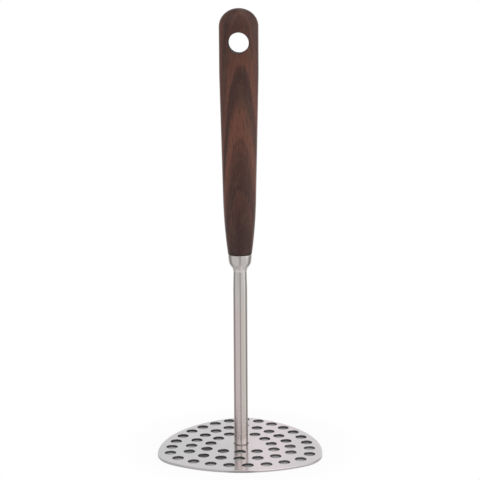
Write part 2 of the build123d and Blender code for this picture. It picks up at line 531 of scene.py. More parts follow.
@dataclass(frozen=True)
class GradedSteelFinish(SteelFinish):
    """Steel whose shine is broader low down, with a tone of its own there and another higher up.

    Its edges are heights in millimetres.
    """

    low_colour: Colour | None = None
    low_roughness: float = 0.2
    low_edges: Edges = (20.0, 60.0)
    high_colour: Colour = (0.60, 0.573, 0.555)
    high_edges: Edges = (76.0, 104.0)

    def surface(self, sheet: NodeSheet) -> tuple[object, Signal, Signal]:
        """The finish's changing parts, graded by height.

        Args:
            sheet: The material's nodes.

        Returns:
            The colour, the roughness and the height of the marks.
        """
        colour, roughness, marks = super().surface(sheet)
        _, _, height = sheet.parts(sheet.place())
        if self.low_colour:
            colour = sheet.blend(height.step(*self.low_edges), self.low_colour, colour)
        colour = sheet.blend(height.step(*self.high_edges), colour, self.high_colour)
        broader = self.low_roughness - self.roughness
        roughness = roughness + height.step(*self.low_edges, broader, 0.0)
        return colour, roughness, marks


@dataclass(frozen=True)
class PunchedSteelFinish(SteelFinish):
    """Plate steel whose cut edges, the punched holes' walls and the rim, are rougher and darker. On
    the rim the darker colour is also painted shade: the table's contact shadow that the rim would
    mirror.

    Its warm painted reflection fades again towards the right end, and there painted light makes the
    cut edges lighter. Its edges are places across the plate in millimetres.
    """

    painted_reflection_colour: Colour = (0.81, 0.73, 0.75)
    painted_reflection_edges: Edges = (-5.0, 12.0)
    fade_edges: Edges = (22.0, 38.0)
    faded_share: float = 0.2
    cut_and_shade_colour: Colour = (0.115, 0.108, 0.105)
    wall_roughness: float = 0.5
    painted_light_edges: Edges = (-5.0, 28.0)
    painted_light_share: float = 0.95

    def material(self) -> bpy.types.Material:
        """Makes the material.

        Returns:
            The finished material.
        """
        material, sheet = new_material(self.name)
        colour, roughness, marks = self.surface(sheet)
        across, _, _ = sheet.parts(sheet.place())
        # Hole walls and rim are cut edges; the rim's darker colour is also painted shade, the contact
        # shadow that it would mirror.
        wall = sheet.share(CUT_AND_SHADE)
        # Painted light: towards the right end the cut edges take less of the dark cut colour, so they
        # look lighter.
        cut = wall * across.step(*self.painted_light_edges, 1.0, self.painted_light_share)
        colour = sheet.blend(cut, colour, self.cut_and_shade_colour)
        roughness = roughness + wall * (self.wall_roughness - self.roughness)
        finish_surface(sheet, colour, roughness, marks, self.mark_depth, {"Metallic": 1.0})
        return material

    def painted_reflection_share(self, sheet: NodeSheet, where: bpy.types.NodeSocket) -> Signal:
        """How much of the painted reflection lies at each point."""
        across, _, _ = sheet.parts(where)
        return across.step(*self.painted_reflection_edges) * across.step(*self.fade_edges, 1.0, self.faded_share)


@dataclass(frozen=True)
class WoodMarks:
    """Marks of another colour in the wood.

    They are made by a noise, start at one of its levels and are full at another, and cover the wood
    by a share of their colour.
    """

    noise: Noise
    edges: Edges
    share: float
    colour: Colour

    def cover(self, sheet: NodeSheet, where: bpy.types.NodeSocket) -> Signal:
        """How far each place lies in such a mark, from 0 to 1."""
        return sheet.noise(where, self.noise).step(*self.edges)


@dataclass(frozen=True)
class DarkWoodFinish:
    """Oiled dark wood with light specks, partly its own and partly painted glints of sheen, whose
    growth rings show as arches that open downwards.

    A ring's height is z + spread * (x - middle)^2 + steepness * (x - middle)^4 + slant * y + lift,
    so one ring is an arch with its apex at that height on the middle line. The lift makes it the
    height on the wood's front. The rings waver slowly, and every ring height has its own tone, from
    dark at 0 to light at 1. Towards its sides the wood is painted lighter: a painted sheen where
    light grazes its rounded sides.
    """

    name: str = "dark wood"
    middle: float = 1.2
    spread: float = 0.26
    steepness: float = 0.0019
    slant: float = 1.5
    lift: float = 10.0
    slow_waver: float = 9.0
    slow_noise: Noise = Noise((0.14, 0.14, 0.030), 2.0)
    quick_waver: float = 4.5
    quick_noise: Noise = Noise((0.7, 0.7, 0.05), 3.0, 0.6, 5.0)
    ring_tones: tuple[tuple[float, float], ...] = (
        (110.0, 0.0), (134.0, 0.0), (143.0, 0.14), (152.0, 0.33), (158.5, 0.38), (161.0, 0.02),
        (164.0, 0.20), (176.0, 0.24), (182.0, 0.40), (187.0, 0.52), (189.0, 0.36), (192.0, 0.80),
        (203.0, 0.88), (211.0, 0.55), (216.0, 0.22), (228.0, 0.14), (233.0, 0.30), (236.0, 0.70),
        (240.0, 0.58), (250.0, 0.56), (255.0, 0.34), (262.0, 0.28), (267.0, 0.50), (271.0, 0.20),
        (276.0, 0.28), (279.0, 0.12), (289.0, 0.15), (300.0, 0.34),
    )
    left_sheen_edges: Edges = (-11.5, -8.0)
    left_painted_sheen: float = 0.42
    right_sheen_edges: Edges = (4.5, 10.5)
    right_painted_sheen: float = 0.18
    fibre_noise: Noise = Noise((1.7, 1.7, 0.055), 4.0, 0.65)
    fibre_tone: float = 0.75
    dark: Colour = (0.042, 0.0145, 0.0110)
    light: Colour = (0.152, 0.052, 0.031)
    blotches: WoodMarks = WoodMarks(
        Noise((0.22, 0.22, 0.06), 2.0, 0.5, 11.0), (0.50, 0.70), 0.45, (0.088, 0.046, 0.026))
    pores: WoodMarks = WoodMarks(
        Noise((2.0, 2.0, 0.20), 2.0, 0.55, 7.0), (0.56, 0.68), 0.60, (0.022, 0.010, 0.008))
    # Light specks: partly the wood's own, partly painted glints of sheen.
    flecks_and_glints: WoodMarks = WoodMarks(
        Noise((2.2, 2.2, 0.55), 2.0, 0.6, 17.0), (0.56, 0.72), 0.15, (0.32, 0.19, 0.14))
    cut_and_shade_colour: Colour = (0.020, 0.012, 0.010)
    cut_and_shade_share: float = 0.9
    roughness: float = 0.40
    wall_roughness: float = 1.0
    fibre_roughness: float = 0.12
    pore_roughness: float = 0.1
    fibre_height_share: float = 0.3
    grain_depth: float = 0.02 * MM
    gloss: float = 0.35
    sheen: float = 0.26
    sheen_roughness: float = 0.35

    def ring_height(self, sheet: NodeSheet, where: bpy.types.NodeSocket) -> Signal:
        """The height of the apex of the ring through each place, in millimetres.

        Args:
            sheet: The material's nodes.
            where: The place, in millimetres.

        Returns:
            The height, with its waver.
        """
        x, y, z = sheet.parts(where)
        across = x - self.middle
        slow = sheet.noise(where, self.slow_noise) - 0.5
        quick = sheet.noise(where, self.quick_noise) - 0.5
        square = across * across
        arch = z + square * self.spread + square * square * self.steepness
        level = arch + y * self.slant + self.lift
        return level + slow * self.slow_waver + quick * self.quick_waver

    def tone(self, sheet: NodeSheet, where: bpy.types.NodeSocket, fibre: Signal) -> Signal:
        """How light the wood is: its ring's tone, its fibres', and the painted sheen on its sides.

        Args:
            sheet: The material's nodes.
            where: The place, in millimetres.
            fibre: The fibres' noise.

        Returns:
            The tone, from dark at 0 to light at 1.
        """
        lowest, highest = self.ring_tones[0][0], self.ring_tones[-1][0]
        span = highest - lowest
        stops = [((ring - lowest) / span, (tone,) * 3) for ring, tone in self.ring_tones]
        share = (self.ring_height(sheet, where) - lowest) / span
        rings = sheet.signal("ShaderNodeValToRGB", {"stops": stops}, {0: share})
        across, _, _ = sheet.parts(where)
        # Painted sheen: the wood's left and right sides are made lighter, where light grazes them.
        left = across.step(*self.left_sheen_edges, self.left_painted_sheen, 0.0)
        right = across.step(*self.right_sheen_edges, 0.0, self.right_painted_sheen)
        return rings + (fibre - 0.5) * self.fibre_tone + (left + right)

    def material(self) -> bpy.types.Material:
        """Makes the material.

        Returns:
            The finished material.
        """
        material, sheet = new_material(self.name)
        where = sheet.place()
        fibre = sheet.noise(where, self.fibre_noise)
        kinds = (self.blotches, self.pores, self.flecks_and_glints)
        covers = {marks: marks.cover(sheet, where) for marks in kinds}
        colour = sheet.blend(self.tone(sheet, where, fibre).step(0.0, 1.0), self.dark, self.light)
        for marks, cover in covers.items():
            colour = sheet.blend(cover * marks.share, colour, marks.colour)
        pores = covers[self.pores]
        # The drilled hole's wall, and the painted shadow line at the wood's foot, take the dark cut
        # colour.
        wall = sheet.share(CUT_AND_SHADE)
        colour = sheet.blend(wall * self.cut_and_shade_share, colour, self.cut_and_shade_colour)
        roughness = self.roughness + (fibre - 0.5) * self.fibre_roughness
        roughness = roughness + pores * self.pore_roughness
        roughness = roughness + wall * (self.wall_roughness - self.roughness)
        height = fibre * self.fibre_height_share - pores
        fixed = {"Specular IOR Level": self.gloss, "Sheen Weight": self.sheen,
                 "Sheen Roughness": self.sheen_roughness}
        finish_surface(sheet, colour, roughness, height, self.grain_depth, fixed)
        return material


def point_places(piece: bpy.types.Object) -> np.ndarray:
    """Reads where a piece's points are.

    Args:
        piece: The piece.

    Returns:
        One place a row.
    """
    places = np.empty(len(piece.data.vertices) * 3)
    piece.data.vertices.foreach_get("co", places)
    return places.reshape(-1, 3)


def write_cut_and_shade(piece: bpy.types.Object, share: np.ndarray) -> None:
    """Writes on each point how far it belongs to a cut edge or to painted shade, from 0 to 1, for the
    finish.
    """
    written = piece.data.attributes.new(CUT_AND_SHADE, "FLOAT", "POINT")
    written.data.foreach_set("value", share.astype(np.float32))


def dress(piece: bpy.types.Object, material: bpy.types.Material, slot: str, *nodes: str) -> None:
    """Gives a new piece its material and its body, and hides the nodes that it stands for.

    Args:
        piece: The piece.
        material: Its material.
        slot: Not used.
        nodes: The nodes that it replaces.
    """
    piece.data.materials.clear()
    piece.data.materials.append(material)
    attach(piece, BODY)
    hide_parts(*nodes)
    log.info("%s: %d faces, finish %s", piece.name, len(piece.data.polygons), material.name)


@dataclass
class Arc:
    """A stretch of a circle, from one angle to another, as seen from above."""

    centre: tuple[float, float]
    radius: float
    start: float
    end: float

    def walk(self, spacing: float) -> tuple[np.ndarray, np.ndarray]:
        """Points and outward directions along the arc, without its last point.

        Args:
            spacing: The largest step between points.

        Returns:
            The points and the unit directions away from the centre.
        """
        count = max(2, math.ceil(abs(self.end - self.start) * self.radius / spacing))
        angle = self.start + (self.end - self.start) * np.arange(count) / count
        outward = np.stack([np.cos(angle), np.sin(angle)], axis=1)
        return np.array(self.centre) + self.radius * outward, outward


@dataclass
class HoleRing:
    """One ring of holes: how far its arcs lie in from the outermost ring's, and its spacings."""

    front_step: float
    side_step: float
    front_pitch: float
    corner_pitch: float


@dataclass
class MashingPlate:
    """The perforated plate: front arc, two side arcs, rounded corners and three rings of holes."""

    thickness: float = 1.5 * MM
    half_width: float = 49.8 * MM
    front_reach: float = 46.9 * MM
    front_radius: float = 74.6 * MM
    side_radius: float = 64.6 * MM
    widest_forward: float = 14.0 * MM
    corner_radius: float = 21.0 * MM
    tip_radius: float = 10.0 * MM
    edge_radius: float = 0.4 * MM
    hole_radius: float = 3.45 * MM
    hole_edge_break: float = 0.2 * MM
    hole_rim_margin: float = 0.95 * MM
    front_row_inset: float = 8.8 * MM
    ring_centre_across: float = 4.0 * MM
    ring_centre_back: float = 0.75 * MM
    outer_ring_margin: float = 0.15 * MM
    front_corner_gap: float = 5.8 * MM
    side_pitch: float = 10.1 * MM
    rings: tuple[HoleRing, ...] = (
        HoleRing(0.0, 0.0, 11.1 * MM, 11.24 * MM),
        HoleRing(11.3 * MM, 11.4 * MM, 11.1 * MM, 12.12 * MM),
        HoleRing(22.6 * MM, 21.7 * MM, 10.3 * MM, 10.54 * MM),
    )
    outline_spacing: float = 0.7 * MM
    edge_steps: int = 5
    hole_columns: int = 56
    filler_spacing: float = 2.2 * MM
    sharp_angle: float = 30.0
    rim_share: float = 0.36
    finish: SteelFinish = PunchedSteelFinish(
        "plate steel", (0.70, 0.675, 0.68), (0.66, 0.65, 0.66), 0.16, Lay.ROLLED)

    def front_centre(self) -> float:
        """How far behind the stem the front arc is centred."""
        return self.front_radius - self.front_reach

    def side_centre(self) -> float:
        """How far across the stem's axis each side arc is centred."""
        return self.side_radius - self.half_width

    def outline(self) -> tuple[np.ndarray, np.ndarray]:
        """The plate's edge, anticlockwise from the middle of the front.

        A rounded corner is an arc inside both of its neighbours, so its centre is as far from each
        neighbour's centre as the difference of their radii.

        Returns:
            The points and their outward directions.
        """
        front, side = (0.0, self.front_centre()), (-self.side_centre(), -self.widest_forward)
        corner = crossing(front, self.front_radius - self.corner_radius,
                          side, self.side_radius - self.corner_radius)
        reach = self.side_radius - self.tip_radius
        tip = (0.0, math.sqrt(reach ** 2 - side[0] ** 2) - self.widest_forward)
        turns = [-math.pi / 2, bearing(front, corner), bearing(side, corner), bearing(side, tip),
                 math.pi / 2]
        centres = (front, corner, side, tip)
        radii = (self.front_radius, self.corner_radius, self.side_radius, self.tip_radius)
        walks = [Arc(c, r, a, b).walk(self.outline_spacing)
                 for c, r, a, b in zip(centres, radii, turns, turns[1:])]
        points, outward = (np.concatenate(parts) for parts in zip(*walks))
        top = np.array([[0.0, tip[1] + self.tip_radius]])
        points = np.concatenate([points, top, points[:0:-1] * (-1, 1)])
        outward = np.concatenate([outward, [[0.0, 1.0]], outward[:0:-1] * (-1, 1)])
        return points, outward

    def hole_places(self, tip_limit: float) -> np.ndarray:
        """Hole centres of all rings.

        Args:
            tip_limit: How far back the tip holes may lie.

        Returns:
            One centre a row.
        """
        return np.concatenate([self.ring_places(ring, tip_limit) for ring in self.rings])

    def ring_places(self, ring: HoleRing, tip_limit: float) -> np.ndarray:
        """Hole centres of one ring.

        The front row is as many holes as fit at their pitch between the ring's corners. Each side
        row is evenly spaced from one corner pitch past the front row to the tip hole behind the
        stem.

        Args:
            ring: The ring.
            tip_limit: How far back the tip hole may lie.

        Returns:
            One centre a row.
        """
        front = self.front_radius - self.front_row_inset - ring.front_step
        side = self.side_radius - self.hole_radius - self.outer_ring_margin - ring.side_step
        across = self.side_centre() + self.ring_centre_across
        forward = self.widest_forward - self.ring_centre_back
        front_middle, side_middle = (0.0, self.front_centre()), (-across, -forward)
        corner = crossing(front_middle, front, side_middle, side)
        reach = (bearing(front_middle, corner) + math.pi / 2) * front
        steps = int(2 * (reach - self.front_corner_gap) / ring.front_pitch)
        turn = (np.arange(steps + 1) - steps / 2) * ring.front_pitch / front
        front_row = np.stack([front * np.sin(turn), self.front_centre() - front * np.cos(turn)], 1)
        past = ring.corner_pitch - (reach - steps / 2 * ring.front_pitch)
        start = bearing(side_middle, corner) + past / side
        end = math.acos(across / side)
        count = round((end - start) * side / self.side_pitch)
        angle = start + (end - start) * np.arange(count) / count
        side_row = np.stack([side * np.cos(angle) - across, side * np.sin(angle) - forward], 1)
        tip = [[0.0, min(side * math.sin(end) - forward, tip_limit)]]
        return np.concatenate([front_row, side_row, side_row * (-1, 1), tip])

    def fillers(self, centres: np.ndarray, reach: np.ndarray) -> np.ndarray:
        """Points inside the flat faces that keep their triangles even.

        Their rows are staggered and as far apart as an even triangle is high.

        Args:
            centres: Hole centres.
            reach: Half width and half depth of the field of points.

        Returns:
            The points that are clear of the holes and the edge.
        """
        gap = self.filler_spacing
        clear_gap = gap / 3
        rows = np.arange(-reach[1], reach[1], gap * math.sqrt(0.75))
        columns = np.arange(-reach[0], reach[0], gap)
        x, y = np.meshgrid(columns, rows)
        x = x + gap / 2 * (np.arange(len(rows)) % 2)[:, None]
        points = np.stack([x.ravel(), y.ravel()], axis=1)
        clear = off_nearest(points, centres) > self.hole_radius + self.hole_edge_break + clear_gap
        circles = ((0.0, self.front_centre(), self.front_radius),
                   (self.side_centre(), -self.widest_forward, self.side_radius),
                   (-self.side_centre(), -self.widest_forward, self.side_radius))
        for across, along, radius in circles:
            off_centre = np.linalg.norm(points - (across, along), axis=1)
            clear &= off_centre < radius - self.edge_radius - clear_gap
        return points[clear]

    def build(self) -> bpy.types.Object:
        """Makes the plate: even triangles on its faces, a rounded rim and a wall in each hole.

        Each edge of the rim is a quarter circle: it lies r * (1 - sin(a)) in from the outline and
        r * (1 - cos(a)) off the face.

        Returns:
            The plate.
        """
        points, outward = self.outline()
        tip_limit = points[:, 1].max() - self.hole_rim_margin - self.hole_radius
        centres = self.hole_places(tip_limit)
        turn = np.linspace(0.0, math.tau, self.hole_columns, endpoint=False)
        circle = np.stack([np.cos(turn), np.sin(turn)], axis=1)
        quarter = even_shares(self.edge_steps) * math.pi / 2
        inset = self.edge_radius * (1 - np.sin(quarter))
        drop = self.edge_radius * (1 - np.cos(quarter))
        inset = np.concatenate([inset, inset[::-1]])
        height = np.concatenate([self.thickness - drop, drop[::-1]])
        skin = Skin()
        rim = points[None] - outward[None] * inset[:, None, None]
        skin.add_grid(lifted(rim, height))
        cut = self.hole_edge_break
        widths = self.hole_radius + np.array([cut, 0.0, 0.0, 0.0, cut])
        levels = np.array([self.thickness, self.thickness - cut, self.thickness / 2, cut, 0.0])
        for centre in centres:
            skin.add_grid(lifted(centre + circle[None] * widths[:, None, None], levels))
        loops = [rim[0]] + [centre + circle * widths[0] for centre in centres]
        flat, faces = self.flat_face(loops, centres)
        for level in (0.0, self.thickness):
            skin.add(lifted(flat[None], np.array([level]))[0], faces)
        piece = skin.build("mashing_plate", self.sharp_angle)
        self.mark_cut_edges_and_rim_shade(piece, centres)
        return piece

    def flat_face(self, loops: list[np.ndarray],
                  centres: np.ndarray) -> tuple[np.ndarray, np.ndarray]:
        """Triangles between the plate's edge and its holes, worked out in millimetres.

        Args:
            loops: The closed outlines that the face keeps to, the outer one first.
            centres: Hole centres.

        Returns:
            The points, and the triangles as point numbers.
        """
        sides, start = [], 0
        for loop in loops:
            number = start + np.arange(len(loop))
            sides.append(np.stack([number, np.roll(number, -1)], axis=1))
            start += len(loop)
        reach = np.abs(loops[0]).max(axis=0)
        points = np.concatenate(loops + [self.fillers(centres, reach)])
        seeds = [Vector(point) for point in (points / MM).tolist()]
        inside_only, same_place = 1, 1e-6
        made = delaunay_2d_cdt(seeds, np.concatenate(sides).tolist(), [], inside_only, same_place)
        flat = np.array([tuple(point) for point in made[0]]) * MM
        faces = np.array(made[2])
        middle = flat[faces].mean(axis=1)
        return flat, faces[off_nearest(middle, centres) > self.hole_radius]

    def mark_cut_edges_and_rim_shade(self, piece: bpy.types.Object, centres: np.ndarray) -> None:
        """Writes 1 on each point of a hole's wall, a smaller share on the rim, whose darker colour is
        partly painted shade, and 0 on the faces.

        Args:
            piece: The plate.
            centres: Hole centres.
        """
        places = point_places(piece)
        on_wall = off_nearest(places, centres) < self.hole_radius + self.hole_edge_break / 2
        depth = np.minimum(places[:, 2], self.thickness - places[:, 2])
        # Painted shade: the rim takes part of the dark cut colour, standing for the table's contact
        # shadow that it mirrors.
        on_rim = np.clip(depth / self.edge_radius, 0.0, 1.0) * self.rim_share
        write_cut_and_shade(piece, np.maximum(on_wall, on_rim))


def off_nearest(places: np.ndarray, centres: np.ndarray) -> np.ndarray:
    """How far each place lies from the nearest centre, as seen from above."""
    return np.linalg.norm(places[:, None, :2] - centres[None], axis=2).min(axis=1)


def bearing(centre: Sequence[float], point: Sequence[float]) -> float:
    """The direction from a centre to a point, in radians from +X."""
    return math.atan2(point[1] - centre[1], point[0] - centre[0])


def crossing(first: Sequence[float], first_radius: float, second: Sequence[float],
             second_radius: float) -> tuple[float, float]:
    """Where two circles cross, on the right of the line from the first centre to the second.

    Args:
        first: The first circle's centre.
        first_radius: Its radius.
        second: The second circle's centre.
        second_radius: Its radius.

    Returns:
        The crossing whose X is larger.
    """
    span = math.dist(first, second)
    along = (first_radius ** 2 - second_radius ** 2 + span ** 2) / (2 * span)
    aside = math.sqrt(first_radius ** 2 - along ** 2)
    ahead = ((second[0] - first[0]) / span, (second[1] - first[1]) / span)
    middle = (first[0] + along * ahead[0], first[1] + along * ahead[1])
    sides = [(middle[0] + s * aside * ahead[1], middle[1] - s * aside * ahead[0]) for s in (-1, 1)]
    return max(sides)


def lifted(flat: np.ndarray, height: np.ndarray) -> np.ndarray:
    """Rows of flat points, each row set at its own height.

    Args:
        flat: X and Y by row and column, or one row for all.
        height: The height of each row.

    Returns:
        Places by row and column.
    """
    level = height[:, None, None] * np.ones((1, flat.shape[1], 1))
    return np.concatenate([np.broadcast_to(flat, (len(height), *flat.shape[1:])), level], axis=2)


@dataclass
class Stem:
    """The tube from the plate into the ferrule, with its weld beads."""

    plate_thickness: float = 1.5 * MM
    radius: float = 4.25 * MM
    wall: float = 1.0 * MM
    neck_radius: float = 3.975 * MM
    taper_length: float = 11.0 * MM
    top_height: float = 115.3 * MM
    ferrule_base: float = 111.9 * MM
    neck_weld_height: float = 1.8 * MM
    neck_weld_leg: float = 0.45 * MM
    foot_weld_leg: float = 0.5 * MM
    weld_clearance: float = 0.02 * MM
    rows: int = 40
    bead_steps: int = 8
    bead_hollow_share: float = 0.42
    # Painted reflection: the tube's right half takes a beige colour, while its left half keeps the
    # pinker one.
    tube_finish: SteelFinish = GradedSteelFinish(
        "tube steel", (0.635, 0.545, 0.54), (0.615, 0.535, 0.52), 0.12, Lay.TURNED, 0.03,
        0.002 * MM, 7.0, 60.0, painted_reflection_colour=(0.62, 0.565, 0.53), drawn_shine=0.92)
    weld_finish: SteelFinish = SteelFinish(
        "dressed weld", (0.27, 0.25, 0.24), (0.22, 0.205, 0.20), 0.4, Lay.TURNED)

    def wall_line(self, inset: float) -> np.ndarray:
        """Radius and height up one wall of the tube, drawn in evenly from stem to neck.

        The radius is r0 + (r1 - r0) * s, where s runs from 0 to 1 up the taper.

        Args:
            inset: How far the wall lies inside the outer one.

        Returns:
            One point a row.
        """
        taper_top = self.ferrule_base - self.neck_weld_height
        taper_foot = taper_top - self.taper_length
        height = np.concatenate([
            np.linspace(self.plate_thickness, taper_foot, self.rows, endpoint=False),
            np.linspace(taper_foot, taper_top, self.rows, endpoint=False),
            np.array([taper_top, self.top_height]),
        ])
        share = np.clip((height - taper_foot) / self.taper_length, 0.0, 1.0)
        radius = self.radius + (self.neck_radius - self.radius) * share
        return np.stack([radius - inset, height], axis=1)

    def build_tube(self) -> bpy.types.Object:
        """Makes the tube, open at both ends."""
        profile = np.concatenate([self.wall_line(0.0), self.wall_line(self.wall)[::-1]])
        return turned_piece("stem_tube_skin", profile)

    def build_bead(self, name: str, radius: float, face: float, leg: float,
                   height: float) -> bpy.types.Object:
        """Makes a weld bead: a corner against the tube, closed by a hollow curve.

        The curve is (1-t)^2 toe + 2(1-t)t pull + t^2 foot, and its pull lies near the corner.

        Args:
            name: The piece's name.
            radius: The radius of the tube's wall.
            face: The height of the flat face that it meets.
            leg: Its width on that face.
            height: Its length up the tube, negative for down.

        Returns:
            The bead.
        """
        inner = radius + self.weld_clearance
        t = even_shares(self.bead_steps)[:, None]
        toe, corner, foot = (np.array(p) for p in (
            (inner, face + height), (inner, face), (inner + leg, face)))
        pull = corner + self.bead_hollow_share * (toe + foot - 2 * corner)
        hollow = (1 - t) ** 2 * toe + 2 * (1 - t) * t * pull + t ** 2 * foot
        return turned_piece(name, np.concatenate([corner[None], hollow]))

    def build(self, neck_material: bpy.types.Material) -> None:
        """Makes and dresses the tube and both beads.

        Args:
            neck_material: The ferrule's material, into which the neck's bead is dressed.
        """
        dress(self.build_tube(), self.tube_finish.material(), "stem_steel", "stem_tube")
        foot = self.build_bead("foot_weld_skin", self.radius, self.plate_thickness,
                               self.foot_weld_leg, self.foot_weld_leg)
        neck = self.build_bead("neck_weld_skin", self.neck_radius, self.ferrule_base,
                               self.neck_weld_leg, -self.neck_weld_height)
        dress(foot, self.weld_finish.material(), "weld_steel", "foot_weld")
        dress(neck, neck_material, "weld_steel", "neck_weld")


@dataclass
class Ferrule:
    """The thin steel cup between the stem and the wood."""

    base: float = 111.9 * MM
    top: float = 120.7 * MM
    rim_radius: float = 7.05 * MM
    shoulder_radius: float = 6.4 * MM
    land_height: float = 0.8 * MM
    shoulder_height: float = 2.8 * MM
    lip_radius: float = 4.445 * MM
    bore_radius: float = 4.005 * MM
    floor_thickness: float = 1.3 * MM
    wall: float = 0.9 * MM
    side_steps: int = 10
    corner_round: float = 0.95 * MM
    rim_round: float = 0.3 * MM
    lip_round: float = 0.05 * MM
    corner_steps: int = 8
    # Painted light: the lighter low colour brightens the ferrule's lower shoulder.
    finish: SteelFinish = GradedSteelFinish(
        "turned steel", (0.60, 0.565, 0.55), (0.585, 0.55, 0.53), 0.23, Lay.TURNED,
        low_colour=(0.74, 0.695, 0.675), low_roughness=0.46, low_edges=(113.0, 115.0),
        high_edges=(118.0, 121.0))

    def build(self) -> bpy.types.Material:
        """Makes and dresses the cup, whose side is an arc that leaves the land without a knee.

        At a depth d below the land, the side lies R - sqrt(R^2 - d^2) further in.

        Returns:
            Its material.
        """
        shoulder_top = self.base + self.shoulder_height
        land_foot = self.top - self.land_height
        draw, fall = self.rim_radius - self.shoulder_radius, land_foot - shoulder_top
        arc_radius = (draw ** 2 + fall ** 2) / (2 * draw)
        depth = fall * even_shares(self.side_steps)[:-1]
        inset = arc_radius - np.sqrt(arc_radius ** 2 - depth ** 2)
        side = np.stack([self.rim_radius - inset, land_foot - depth, 0.0 * depth], axis=1)
        profile = rounded_profile((
            (self.rim_radius, self.top, self.rim_round),
            *side.tolist(),
            (self.shoulder_radius, shoulder_top, self.corner_round),
            (self.lip_radius, self.base, self.lip_round),
            (self.bore_radius, self.base, 0.0),
            (self.bore_radius, self.base + self.floor_thickness, 0.0),
            (self.shoulder_radius - self.wall, shoulder_top, 0.0),
            (self.rim_radius - self.wall, land_foot, 0.0),
            (self.rim_radius - self.wall, self.top, 0.0),
        ), self.corner_steps)
        material = self.finish.material()
        dress(turned_piece("ferrule_skin", profile), material, "ferrule_steel", "ferrule")
        return material


